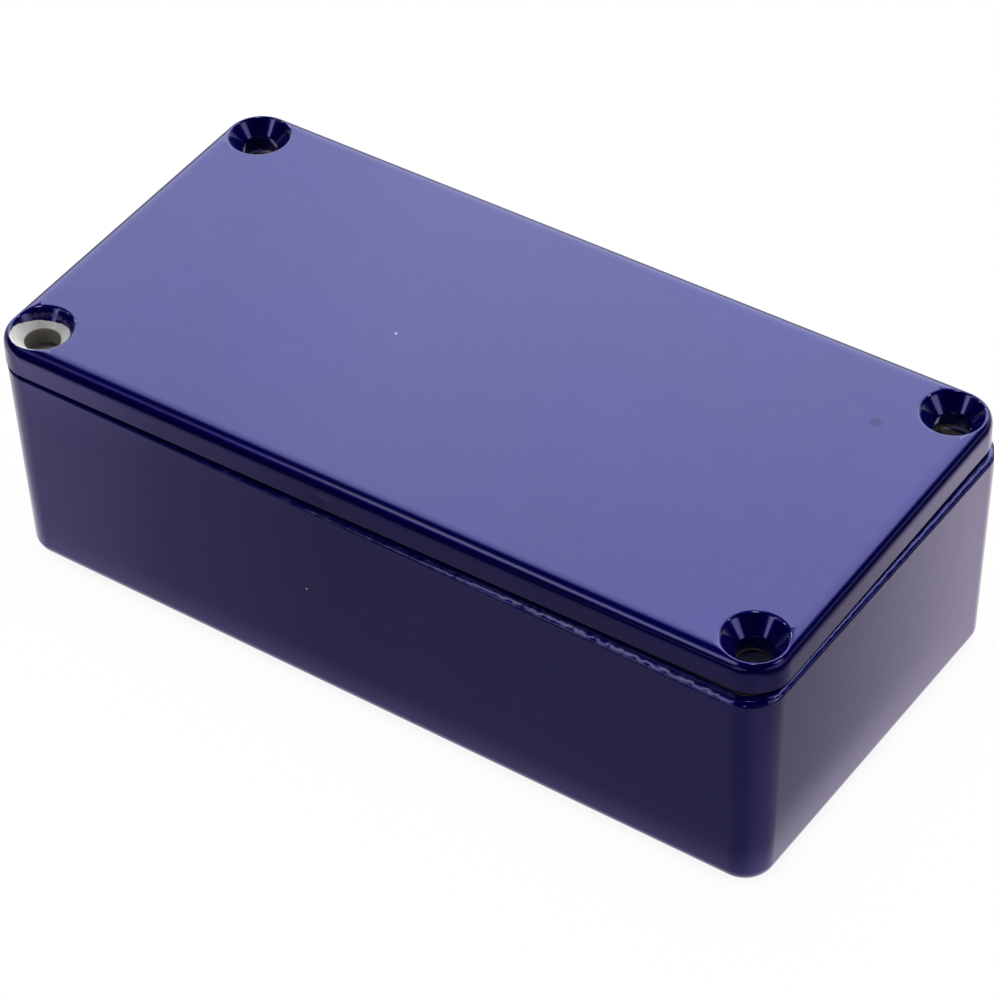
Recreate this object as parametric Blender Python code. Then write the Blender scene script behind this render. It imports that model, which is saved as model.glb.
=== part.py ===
"""Die-cast enclosure: a deep cast box, a flat cast lid on top of it, and its four countersunk screws.

Metres, +Z up. +X runs along the length, -Y is the long front face.
The origin is the centre of the box's flat underside.
The lid lies loose on the box, a little turned and shifted. The screws lie loose on the box floor.
Sizes below are in millimetres and degrees; MM turns them into metres where meshes are placed.
"""

import math

import bmesh
import bpy
from mathutils import Euler, Matrix, Vector

MM = 0.001

# Cast box
BOX_LENGTH = 100.0      # at the rim
BOX_WIDTH = 50.2        # at the rim
RIM_Z = 27.15           # height of the flat rim
BOX_DRAFT = 0.88        # each side leans in by this much from the rim down to the underside
BOX_CORNER_R = 4.4      # outer vertical corner radius at the rim
UNDERSIDE_R = 1.85      # rounding between the sides and the underside
RIM_R = 0.40            # rounding of the rim's outer edge
WALL = 1.90             # wall thickness at the rim
FLOOR = 2.20            # floor thickness
CAVITY_DRAFT = 1.10     # the cavity narrows by this much a side from the rim down to the floor
FLOOR_R = 1.20          # rounding between the cavity walls and the floor
BOSS_R = 3.90           # corner screw boss at the rim
BOSS_GROWTH = 0.3       # growth of the boss radius for each unit the cavity wall moves in
BOSS_FILLET = 1.20      # rounding where a boss meets a wall
TAP_D = 2.90            # tapped hole, modelled without its thread
TAP_DEPTH = 12.0        # depth of its straight part
TAP_POINT = 0.6         # depth of its conical end, as a share of the hole's radius
TAP_CHAMFER = 0.35      # chamfer at its mouth

# Lid
LID_LENGTH = BOX_LENGTH
LID_WIDTH = 49.62
LID_THICK = 3.80
SEAM = 0.30             # gap between the rim and the lid's lower face
LID_CORNER_R = 4.5
LID_TOP_REACH = 2.00    # the rounding round the upper face starts this far in, ends this far down
LID_TOP_POWER = 3.2     # and turns hardest in its middle: 2 would be a plain quarter circle
LID_LOWER_EDGE = 0.15   # bevel of the lid's lower outer edge
LID_SKIN = 2.10         # thickness of the lid's middle
TONGUE_DOWN = 1.50      # how far the locating tongue reaches into the box
TONGUE_LENGTH = 93.20   # outside of the tongue
TONGUE_WIDTH = 42.80
TONGUE_THICK = 1.60
TONGUE_BEVEL = 0.35     # bevel of the tongue's lower outer edge
TONGUE_OVERLAP = 0.8    # how far the tongue's solid runs up into the lid
TONGUE_NOTCH_R = 6.10   # the tongue steps round each boss at this radius
TONGUE_FILLET = 1.0     # rounding where a step meets the straight sides
POCKET_DRAFT = 0.25     # the pocket inside the tongue narrows by this much a side to its roof
LID_TURN = 0.90         # how far the loose lid lies turned on the box
LID_SHIFT = (-0.81, 0.73)

# Screw pattern, from the centre of each part
HOLE_X = 45.72
HOLE_Y = 20.42
HOLES = tuple((side_x * HOLE_X, side_y * HOLE_Y)
              for side_x, side_y in ((-1, 1), (-1, -1), (1, 1), (1, -1)))
CLEARANCE_D = 4.00      # clearance hole through the lid
SINK_D = 7.40           # countersink at the upper face
SINK_ANGLE = 82.0       # full angle of the countersink and of the screw head
SINK_SLOPE = math.tan(math.radians(SINK_ANGLE / 2))

# Lid screw
HEAD_D = 7.00
HEAD_EDGE = 0.25        # depth below the head's face where its cone begins
HEAD_ROUNDING = ((0.08, 0.06), (0.25, 0.0))  # (inset from the rim, depth below the face)
SCREW_D = 3.50
SCREW_LENGTH = 12.70
TIP_D = 2.70
TIP_CHAMFER = 0.60      # length of the taper at the tip
RECESS_SPAN = 3.90      # cross recess, tip to tip
RECESS_SLOT = 0.85      # width of each of its arms
RECESS_DEPTH = 1.60

# Loose screws
REST_GAP = 0.30         # gap under a loose screw
ROLL_STEP = 17.0        # each screw is rolled this much further about its axis than the one before
LOOSE_SCREWS = (        # (middle x, middle y, the way the tip points in degrees from +X)
    (-36.0, -12.0, 15.0),
    (-33.0, -3.0, 170.0),
    (-36.5, 7.5, 35.0),
    (-26.0, 8.0, 105.0),
)

# How far cutting tools run past the surface they open
CAVITY_OVERSHOOT = 2.0
OVERSHOOT = 1.0

# Mesh fineness, in segments
CORNER_STEPS = 6        # corner of a rounded rectangle
FILLET_STEPS = 4        # each fillet of a notched rectangle
NOTCH_STEPS = 12        # notch round a screw centre
EDGE_STEPS = 4          # rounded edges of the box and its cavity
LID_TOP_STEPS = 8       # rounding of the lid's upper edge
TAP_SEGMENTS = 24
HOLE_SEGMENTS = 40
SCREW_SEGMENTS = 28


# ---------------------------------------------------------------- outlines, in millimetres
def arc(centre, radius, start, end, steps):
    """Points from angle start to end in degrees, both ends included."""
    angles = [math.radians(start + (end - start) * k / steps) for k in range(steps + 1)]
    return [(centre[0] + radius * math.cos(a), centre[1] + radius * math.sin(a)) for a in angles]


def direction(start, end):
    """Angle in degrees of the line from start to end."""
    return math.degrees(math.atan2(end[1] - start[1], end[0] - start[0]))


def quarter_turn(steps):
    """(sine, cosine) pairs from 0 to 90 degrees, both ends included."""
    angles = [math.radians(90 * k / steps) for k in range(steps + 1)]
    return [(math.sin(a), math.cos(a)) for a in angles]


def rounded_rectangle(half_x, half_y, radius):
    """Anticlockwise outline of a rectangle with rounded corners."""
    points = []
    for side_x, side_y, start in ((1, 1, 0), (-1, 1, 90), (-1, -1, 180), (1, -1, 270)):
        centre = (side_x * (half_x - radius), side_y * (half_y - radius))
        points += arc(centre, radius, start, start + 90, CORNER_STEPS)
    return points


def notched_rectangle(half_x, half_y, notch_r, fillet):
    """Anticlockwise outline of a rectangle whose corners step round the four screw centres."""
    hole = (HOLE_X, HOLE_Y)
    reach = notch_r + fillet
    # centres of the fillets on the +X side and on the +Y side
    fillet_x = (half_x - fillet,
                HOLE_Y - math.sqrt(reach ** 2 - (half_x - fillet - HOLE_X) ** 2))
    fillet_y = (HOLE_X - math.sqrt(reach ** 2 - (half_y - fillet - HOLE_Y) ** 2),
                half_y - fillet)
    notch_start = direction(hole, fillet_x)
    notch_end = direction(hole, fillet_y)
    if notch_end > notch_start:
        notch_end -= 360.0      # the notch runs clockwise
    corner = (arc(fillet_x, fillet, 0.0, direction(fillet_x, hole), FILLET_STEPS)
              + arc(hole, notch_r, notch_start, notch_end, NOTCH_STEPS)[1:-1]
              + arc(fillet_y, fillet, direction(fillet_y, hole), 90.0, FILLET_STEPS))
    mirrored = corner[::-1]
    return (corner + [(-x, y) for x, y in mirrored]
            + [(-x, -y) for x, y in corner] + [(x, -y) for x, y in mirrored])


# ---------------------------------------------------------------- solids
def finish(name, bm):
    """Turns the bmesh into an object in the scene."""
    bm.normal_update()
    mesh = bpy.data.meshes.new(name)
    bm.to_mesh(mesh)
    bm.free()
    obj = bpy.data.objects.new(name, mesh)
    bpy.context.scene.collection.objects.link(obj)
    return obj


def bridge(bm, loops):
    """Joins each closed loop of vertices to the next with quads."""
    for low, high in zip(loops, loops[1:]):
        for i in range(len(low)):
            j = (i + 1) % len(low)
            bm.faces.new((low[i], low[j], high[j], high[i]))


def loft(name, rings):
    """Closed solid through (outline, height) rings, lowest first, capped at both ends."""
    bm = bmesh.new()
    loops = [[bm.verts.new((x * MM, y * MM, z * MM)) for x, y in outline] for outline, z in rings]
    bridge(bm, loops)
    bm.faces.new(loops[0][::-1])
    bm.faces.new(loops[-1])
    return finish(name, bm)


def turned(name, profile, segments, centre=(0.0, 0.0)):
    """Turned solid from (radius, height) points, lowest first; first and last lie on the axis."""
    bm = bmesh.new()
    x, y = centre
    foot = bm.verts.new((x * MM, y * MM, profile[0][1] * MM))
    crown = bm.verts.new((x * MM, y * MM, profile[-1][1] * MM))
    angles = [2 * math.pi * k / segments for k in range(segments)]
    loops = [[bm.verts.new(((x + radius * math.cos(a)) * MM, (y + radius * math.sin(a)) * MM,
                            z * MM)) for a in angles]
             for radius, z in profile[1:-1]]
    for i in range(segments):
        j = (i + 1) % segments
        bm.faces.new((foot, loops[0][j], loops[0][i]))
        bm.faces.new((crown, loops[-1][i], loops[-1][j]))
    bridge(bm, loops)
    return finish(name, bm)


def block(name, size_x, size_y, bottom, top):
    """Rectangular bar centred on the Z axis."""
    bm = bmesh.new()
    bmesh.ops.create_cube(bm, size=1.0)
    for v in bm.verts:
        z = bottom + (v.co.z + 0.5) * (top - bottom)
        v.co = Vector((v.co.x * size_x * MM, v.co.y * size_y * MM, z * MM))
    return finish(name, bm)


def combine(obj, tool, operation="DIFFERENCE"):
    """Cuts tool out of obj, or joins it on, and keeps the tool as a guide hidden from renders."""
    tool.hide_render = True
    tool.display_type = "WIRE"
    tool.parent = obj
    step = obj.modifiers.new(tool.name, "BOOLEAN")
    step.operation = operation
    step.solver = "EXACT"
    step.object = tool


def smooth(mesh):
    """Shades smooth, keeping edges sharper than 35 degrees crisp."""
    mesh.shade_smooth()
    mesh.set_sharp_from_angle(angle=math.radians(35.0))


def material(name, colour, roughness, metallic):
    made = bpy.data.materials.new(name)
    made.use_nodes = True
    shader = made.node_tree.nodes["Principled BSDF"]
    shader.inputs["Base Color"].default_value = (*colour, 1.0)
    shader.inputs["Roughness"].default_value = roughness
    shader.inputs["Metallic"].default_value = metallic
    return made


# ---------------------------------------------------------------- cast box
def box_ring(inset, z):
    inset += BOX_DRAFT * (1 - z / RIM_Z)
    outline = rounded_rectangle(BOX_LENGTH / 2 - inset, BOX_WIDTH / 2 - inset,
                                BOX_CORNER_R - inset)
    return outline, z


def cavity_ring(inset, z):
    inset += CAVITY_DRAFT * (RIM_Z - z) / (RIM_Z - FLOOR)
    outline = notched_rectangle(BOX_LENGTH / 2 - WALL - inset, BOX_WIDTH / 2 - WALL - inset,
                                BOSS_R + inset * BOSS_GROWTH, BOSS_FILLET)
    return outline, z


def build_box(paint):
    edge = quarter_turn(EDGE_STEPS)
    rings = [box_ring(UNDERSIDE_R * (1 - sine), UNDERSIDE_R * (1 - cosine))
             for sine, cosine in edge]
    rings += [box_ring(RIM_R * (1 - cosine), RIM_Z - RIM_R + RIM_R * sine)
              for sine, cosine in edge]
    box = loft("base_box", rings)
    box.data.materials.append(paint)

    rings = [cavity_ring(FLOOR_R * (1 - sine), FLOOR + FLOOR_R * (1 - cosine))
             for sine, cosine in edge]
    rings.append(cavity_ring(0.0, RIM_Z + CAVITY_OVERSHOOT))
    combine(box, loft("cavity_tool", rings))

    radius = TAP_D / 2
    tap_foot = RIM_Z - TAP_DEPTH
    tap_top = RIM_Z + OVERSHOOT
    profile = [(0, tap_foot - radius * TAP_POINT), (radius, tap_foot),
               (radius, RIM_Z - TAP_CHAMFER), (radius + TAP_CHAMFER, RIM_Z),
               (radius + TAP_CHAMFER + OVERSHOOT, tap_top), (0, tap_top)]
    for i, hole in enumerate(HOLES, start=1):
        combine(box, turned(f"tap_tool_{i}", profile, TAP_SEGMENTS, hole))
    smooth(box.data)


# ---------------------------------------------------------------- lid
def lid_ring(inset, z):
    outline = rounded_rectangle(LID_LENGTH / 2 - inset, LID_WIDTH / 2 - inset,
                                LID_CORNER_R - inset)
    return outline, z


def tongue_ring(inset, z):
    outline = notched_rectangle(TONGUE_LENGTH / 2 - inset, TONGUE_WIDTH / 2 - inset,
                                TONGUE_NOTCH_R + inset, TONGUE_FILLET)
    return outline, z


def build_lid(paint):
    """The lid's own origin is the centre of its lower face."""
    rings = [lid_ring(LID_LOWER_EDGE, 0.0), lid_ring(0.0, LID_LOWER_EDGE)]
    power = 2 / LID_TOP_POWER
    for sine, cosine in quarter_turn(LID_TOP_STEPS):
        rings.append(lid_ring(LID_TOP_REACH * (1 - cosine ** power),
                              LID_THICK - LID_TOP_REACH * (1 - sine ** power)))
    lid = loft("lid", rings)
    lid.data.materials.append(paint)

    combine(lid, loft("tongue_tool", [
        tongue_ring(TONGUE_BEVEL, -TONGUE_DOWN),
        tongue_ring(0.0, -TONGUE_DOWN + TONGUE_BEVEL),
        tongue_ring(0.0, TONGUE_OVERLAP)]), "UNION")
    combine(lid, loft("pocket_tool", [
        tongue_ring(TONGUE_THICK, -TONGUE_DOWN - OVERSHOOT),
        tongue_ring(TONGUE_THICK + POCKET_DRAFT, LID_THICK - LID_SKIN)]))

    radius = CLEARANCE_D / 2
    sink_depth = (SINK_D - CLEARANCE_D) / 2 / SINK_SLOPE
    top = LID_THICK + OVERSHOOT
    profile = [(0, -OVERSHOOT), (radius, -OVERSHOOT), (radius, LID_THICK - sink_depth),
               (SINK_D / 2 + SINK_SLOPE * OVERSHOOT, top), (0, top)]
    for i, hole in enumerate(HOLES, start=1):
        combine(lid, turned(f"screw_hole_tool_{i}", profile, HOLE_SEGMENTS, hole))
    smooth(lid.data)
    lid.location = (LID_SHIFT[0] * MM, LID_SHIFT[1] * MM, (RIM_Z + SEAM) * MM)
    lid.rotation_euler = Euler((0.0, 0.0, math.radians(LID_TURN)))


# ---------------------------------------------------------------- lid screws
def screw_mesh(metal):
    """Screw with its head up the +Z axis; its origin is the centre of the head's face."""
    cone_depth = (HEAD_D - SCREW_D) / 2 / SINK_SLOPE
    profile = [(0, -SCREW_LENGTH), (TIP_D / 2, -SCREW_LENGTH),
               (SCREW_D / 2, -SCREW_LENGTH + TIP_CHAMFER),
               (SCREW_D / 2, -HEAD_EDGE - cone_depth), (HEAD_D / 2, -HEAD_EDGE)]
    profile += [(HEAD_D / 2 - inset, -depth) for inset, depth in HEAD_ROUNDING]
    profile.append((0, 0.0))
    blank = turned("screw_blank", profile, SCREW_SEGMENTS)
    blank.data.materials.append(metal)
    bars = [block("recess_tool_1", RECESS_SPAN, RECESS_SLOT, -RECESS_DEPTH, OVERSHOOT),
            block("recess_tool_2", RECESS_SLOT, RECESS_SPAN, -RECESS_DEPTH, OVERSHOOT)]
    for bar in bars:
        combine(blank, bar)

    # the four screws share one mesh with the recess already cut
    bpy.context.view_layer.update()
    depsgraph = bpy.context.evaluated_depsgraph_get()
    mesh = bpy.data.meshes.new_from_object(blank.evaluated_get(depsgraph))
    mesh.name = "lid_screw"
    for spare in (blank, *bars):
        bpy.data.objects.remove(spare, do_unlink=True)
    smooth(mesh)
    return mesh


def build_screws(metal):
    mesh = screw_mesh(metal)
    # a loose screw lies on its head's edge and its tip, so its axis leans
    lean = math.atan((HEAD_D - TIP_D) / 2 / SCREW_LENGTH)
    tip_over = Matrix.Rotation(-math.pi / 2 + lean, 4, "Y")
    half = SCREW_LENGTH / 2 * math.cos(lean)
    z = FLOOR + REST_GAP + HEAD_D / 2 * math.cos(lean)
    for i, (middle_x, middle_y, heading) in enumerate(LOOSE_SCREWS, start=1):
        screw = bpy.data.objects.new(f"lid_screw_{i}", mesh)
        bpy.context.scene.collection.objects.link(screw)
        heading = math.radians(heading)
        spin = Matrix.Rotation(heading, 4, "Z")
        roll = Matrix.Rotation(math.radians(ROLL_STEP * i), 4, "Z")
        screw.rotation_euler = (spin @ tip_over @ roll).to_euler()
        x = middle_x - half * math.cos(heading)
        y = middle_y - half * math.sin(heading)
        screw.location = (x * MM, y * MM, z * MM)


for old in list(bpy.data.objects):
    bpy.data.objects.remove(old, do_unlink=True)

build_box(material("gloss_blue_paint", colour=(0.012, 0.008, 0.16), roughness=0.12, metallic=0.0))
build_lid(material("gloss_blue_paint_lid", colour=(0.013, 0.009, 0.17), roughness=0.12,
                   metallic=0.0))
build_screws(material("plated_steel", colour=(0.62, 0.62, 0.60), roughness=0.30, metallic=1.0))
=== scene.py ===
"""A painted die-cast enclosure: open box, lid and four loose screws, with a studio round them.

The box stands on z = 0, centred on the origin, with its length along x and its front towards -y.
The lid lies on the rim, a little shifted and turned. The screws lie on the floor of the box.
Lengths are millimetres until a mesh is finished; materials, studio and camera use metres.
"""

import math

import bpy
import numpy as np
from mathutils import Matrix, Vector, geometry, noise


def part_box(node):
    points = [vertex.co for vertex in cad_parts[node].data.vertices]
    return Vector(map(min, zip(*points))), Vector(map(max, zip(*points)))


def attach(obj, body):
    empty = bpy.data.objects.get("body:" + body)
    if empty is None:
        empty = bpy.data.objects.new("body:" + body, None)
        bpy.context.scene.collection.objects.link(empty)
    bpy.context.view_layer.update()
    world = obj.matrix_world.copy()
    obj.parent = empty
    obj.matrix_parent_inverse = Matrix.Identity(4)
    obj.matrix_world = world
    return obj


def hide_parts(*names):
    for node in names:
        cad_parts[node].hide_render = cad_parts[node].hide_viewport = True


MM = 0.001

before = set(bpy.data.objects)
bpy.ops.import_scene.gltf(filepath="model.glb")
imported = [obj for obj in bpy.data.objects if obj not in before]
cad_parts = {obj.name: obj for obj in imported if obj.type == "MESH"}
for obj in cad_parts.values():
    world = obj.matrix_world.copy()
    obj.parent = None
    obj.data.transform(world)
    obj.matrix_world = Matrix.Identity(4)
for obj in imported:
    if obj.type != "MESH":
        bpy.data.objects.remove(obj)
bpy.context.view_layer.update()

# ---------------------------------------------------------------- sizes
# read from the frame
base_lo, base_hi = (np.array(v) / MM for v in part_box("base_box"))
BOX_L = float(base_hi[0] - base_lo[0])      # length at the rim
BOX_W = float(base_hi[1] - base_lo[1])
RIM_Z = float(base_hi[2])
lid_nodes = np.array([v.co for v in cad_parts["lid"].data.vertices], float) / MM
TOP_Z = float(lid_nodes[:, 2].max())

# box, outside
DRAFT = 0.88                    # how far the wall leans out from bottom to rim
CORNER_R = 4.4
UNDERSIDE_R = 1.85
RIM_R = 0.40
WALL_TOP = RIM_Z - RIM_R - 0.9  # the rim's own mesh starts here
WALL_SLOPE = DRAFT / RIM_Z
LEDGE = 1.70                    # width of the painted ledge on the rim

# box, inside
WALL = 1.90
FLOOR = 2.20
CAVITY_DRAFT = 1.10
CAVITY_EDGE_R = 0.14
FLOOR_R = 1.20
BOSS_R = 3.90
BOSS_FILLET = 1.20

# tapped holes and screws
HOLE_X = 45.72
HOLE_Y = 20.42
HOLES = ((-1, 1), (-1, -1), (1, 1), (1, -1))        # signs of x and y, in building order
CORNERS = ((1, 1), (-1, 1), (-1, -1), (1, -1))      # signs of x and y, anticlockwise
TAP_R = 1.45
TAP_MOUTH = 0.35                # how much wider and how deep the hole's mouth is
TAP_DEPTH = 12.0
PITCH = 0.794
SCREW_L = 12.7
SCREW_MAJOR_R = 1.75
SCREW_MINOR_R = 1.36
SCREW_HEAD_R = 3.5
SCREW_TIP_WIDTH = 2.7
# x and y of the middle, heading in degrees
LOOSE_SCREWS = ((-36.0, -12.0, 15.0), (-33.0, -3.0, 170.0), (-36.5, 7.5, 35.0), (-26.0, 8.0, 105.0))
REST_GAP = 0.30                 # gap between a screw's head and the floor

# lid, in its own frame: z = 0 is its bearing face
LID_L = 100.00
LID_W = 49.62
LID_X = LID_L / 2
LID_Y = LID_W / 2
LID_UNDER_Z = 27.45
THICK = TOP_Z - LID_UNDER_Z
LID_LOW = -0.13                 # the outer edge reaches this far below the bearing face
LID_LOW_R = 0.15
LID_CORNER_R = 4.5
LID_TOP_REACH = 2.0             # the top edge is a soft superellipse
LID_TOP_POWER = 3.2
LID_SKIN = 2.10
LID_SHIFT = (-0.81, 0.73)
LID_TURN = math.radians(0.90)
TONGUE_DOWN = 1.50
TONGUE_L = 93.20
TONGUE_W = 42.80
TONGUE_T = 1.60
TONGUE_NOTCH_R = 6.10
BORE_R = 2.0
BORE_LIP = 0.12
SINK_R = 3.7
SINK_HALF_ANGLE = 41.0
SINK_TAN = math.tan(math.radians(SINK_HALF_ANGLE))
LIP_Z = THICK - (SINK_R - BORE_R - BORE_LIP) / SINK_TAN

# corner patches of the lid, meshed as fans round the holes
PATCH_X = HOLE_X - 5.4
PATCH_Y = HOLE_Y - 5.4
STEEP = math.radians(80.0)      # slope of the top edge where the patches begin
TOP_SLOPES = [STEEP * (1 - k / 22) for k in range(23)]
FAN_RADIUS = 3.82               # the fan's rows are full circles from here inwards
FAN_ROWS = 16

# material slots of the two castings
PAINT, BARE = 0, 1
# point attributes: "bare" is above 0 where paint is missing; "mark" above 0 lays on lighter dry
# paint, partly painted highlight and reflection, and near -1 turns bare metal darker and brown
PAINTED = (-1.0, 0.0)


# ---------------------------------------------------------------- arithmetic
def smoothstep(value, start, end):
    t = np.clip((np.asarray(value, float) - start) / (end - start), 0.0, 1.0)
    return t * t * (3 - 2 * t)


def unit_rows(vectors):
    return vectors / np.maximum(np.linalg.norm(vectors, axis=-1, keepdims=True), 1e-12)


def with_z(points, z):
    return np.column_stack([points, np.full(len(points), z)])


def surface_values(bare, mark=0.0):
    """The two point attributes, side by side."""
    return np.stack(np.broadcast_arrays(bare, mark), axis=-1)


def bisect(low, high, keep_going, steps):
    """The last value, between low and high, for which keep_going still holds."""
    for _ in range(steps):
        middle = (low + high) / 2
        further = keep_going(middle)
        low = np.where(further, middle, low)
        high = np.where(further, high, middle)
    return low


def fractal(points, wavelength, seed):
    """Smooth noise in two octaves, about -1 to 1; wavelength is that of the coarser one."""
    out = []
    for x, y, z in points.reshape(-1, 3):
        place = Vector((x + seed * 17.3, y - seed * 9.1, z + seed * 5.7)) / wavelength
        total = 0.0
        for weight in (1.0, 0.5):
            total += weight * noise.noise(place)
            place = place * 2.03
        out.append(total)
    return np.array(out).reshape(points.shape[:-1])


def inside_polygon(points, polygon):
    x, y = points[:, 0], points[:, 1]
    inside = np.zeros(len(points), bool)
    for (x1, y1), (x2, y2) in zip(polygon, np.roll(polygon, -1, 0)):
        if y1 == y2:
            continue
        crosses = (y1 > y) != (y2 > y)
        inside ^= crosses & (x < (x2 - x1) * (y - y1) / (y2 - y1) + x1)
    return inside


def within(points, outlines):
    """True for points inside the first outline and outside the others."""
    inside = inside_polygon(points, outlines[0])
    for hole in outlines[1:]:
        inside &= ~inside_polygon(points, hole)
    return inside


# ---------------------------------------------------------------- outlines
def arc(centre_x, centre_y, radius, start, end, count, sign=1.0):
    """Points and normals of an arc, angles in degrees; sign -1 turns the normals inwards."""
    angle = np.radians(np.linspace(start, end, count + 1))
    normals = np.stack([np.cos(angle), np.sin(angle)], 1)
    return np.array([centre_x, centre_y]) + radius * normals, normals * sign


def mirrored(points, signs):
    """First-quadrant points moved to another corner, reversed if needed to stay anticlockwise."""
    points = np.asarray(points) * signs
    return points if signs[0] * signs[1] > 0 else points[::-1]


def box_outline(half_x, half_y, radius, step, arc_count):
    """Anticlockwise rounded rectangle, as points and outward normals."""
    points, normals = [], []
    straight = np.array([half_x - radius, half_y - radius])
    for k, corner in enumerate(CORNERS):
        p, n = arc(*(straight * corner), radius, 90 * k, 90 * k + 90, arc_count)
        count = int(round(2 * straight[k % 2] / step))
        end = straight * CORNERS[(k + 1) % 4] + radius * n[-1]
        t = np.linspace(0, 1, count + 1)[1:-1, None]
        points += [p, p[-1] + (end - p[-1]) * t]
        normals += [n, np.repeat(n[-1][None], count - 1, 0)]
    return np.concatenate(points), np.concatenate(normals)


def notched_outline(half_x, half_y, notch_r, fillet, step=1.5):
    """Anticlockwise rectangle with corners scooped round the screw centres, and its normals."""
    reach = notch_r + fillet
    # centres of the fillets at the right-hand and back ends of the scoop
    right_x = half_x - fillet
    right_y = HOLE_Y - math.sqrt(reach ** 2 - (right_x - HOLE_X) ** 2)
    back_y = half_y - fillet
    back_x = HOLE_X - math.sqrt(reach ** 2 - (back_y - HOLE_Y) ** 2)
    right_end = math.degrees(math.atan2(HOLE_Y - right_y, HOLE_X - right_x))
    scoop_start = math.degrees(math.atan2(right_y - HOLE_Y, right_x - HOLE_X))
    scoop_end = math.degrees(math.atan2(back_y - HOLE_Y, back_x - HOLE_X))
    if scoop_end > scoop_start:
        scoop_end -= 360.0
    back_start = math.degrees(math.atan2(HOLE_Y - back_y, HOLE_X - back_x))
    p1, n1 = arc(right_x, right_y, fillet, 0.0, right_end, 6)
    p2, n2 = arc(HOLE_X, HOLE_Y, notch_r, scoop_start, scoop_end, 18, sign=-1.0)
    p3, n3 = arc(back_x, back_y, fillet, back_start, 90.0, 6)
    corner_points = np.concatenate([p1, p2[1:-1], p3])
    corner_normals = np.concatenate([n1, n2[1:-1], n3])
    points, normals = [], []
    for k, signs in enumerate(CORNERS):
        p, n = mirrored(corner_points, signs), mirrored(corner_normals, signs)
        following = mirrored(corner_points, CORNERS[(k + 1) % 4])[0]
        count = int(round((HOLE_X, HOLE_Y)[k % 2] * 1.8 / step))
        t = np.linspace(0, 1, count + 1)[1:-1, None]
        points += [p, p[-1] + (following - p[-1]) * t]
        normals += [n, np.repeat(n[-1][None], count - 1, 0)]
    return np.concatenate(points), np.concatenate(normals)


def angles(count):
    return 2 * math.pi * np.arange(count) / count


def hoop(radius, z, count=48, centre=(0.0, 0.0)):
    """A horizontal circle of points; radius may differ from point to point."""
    a = angles(count)
    x = centre[0] + radius * np.cos(a)
    y = centre[1] + radius * np.sin(a)
    return np.column_stack([x, y, np.full(count, z)])


def hoops(profile, count=48, centre=(0.0, 0.0)):
    """One hoop for each (radius, z)."""
    return [hoop(radius, z, count, centre) for radius, z in profile]


def thread_tooth(z, count, fullness):
    """Height of the helical thread round one hoop, 0 to 1."""
    phase = (z / PITCH - angles(count) / (2 * math.pi)) % 1.0
    return np.clip((1 - np.abs(2 * phase - 1)) * fullness - 0.12, 0, 1)


def filler_points(half_x, half_y, step):
    """Staggered points that give a flat face an even mesh."""
    xs = np.arange(-half_x + step / 2, half_x, step)
    ys = np.arange(-half_y + step / 2, half_y, step * 0.866)
    return np.array([(x + (step / 2 if j % 2 else 0), y) for j, y in enumerate(ys) for x in xs])


def sweep(outline, outward, profile):
    """Grid of points and normals. Profile rows: inset, z, the normal's outward and upward parts."""
    points = [with_z(outline - outward * inset, z) for inset, z, _, _ in profile]
    normals = [with_z(outward * out, up) for _, _, out, up in profile]
    return np.stack(points), np.stack(normals)


def surface_normals(points):
    """Normals of a grid whose last column joins its first."""
    along = np.roll(points, -1, 1) - np.roll(points, 1, 1)
    return unit_rows(np.cross(along, np.gradient(points, axis=0)))


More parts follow.
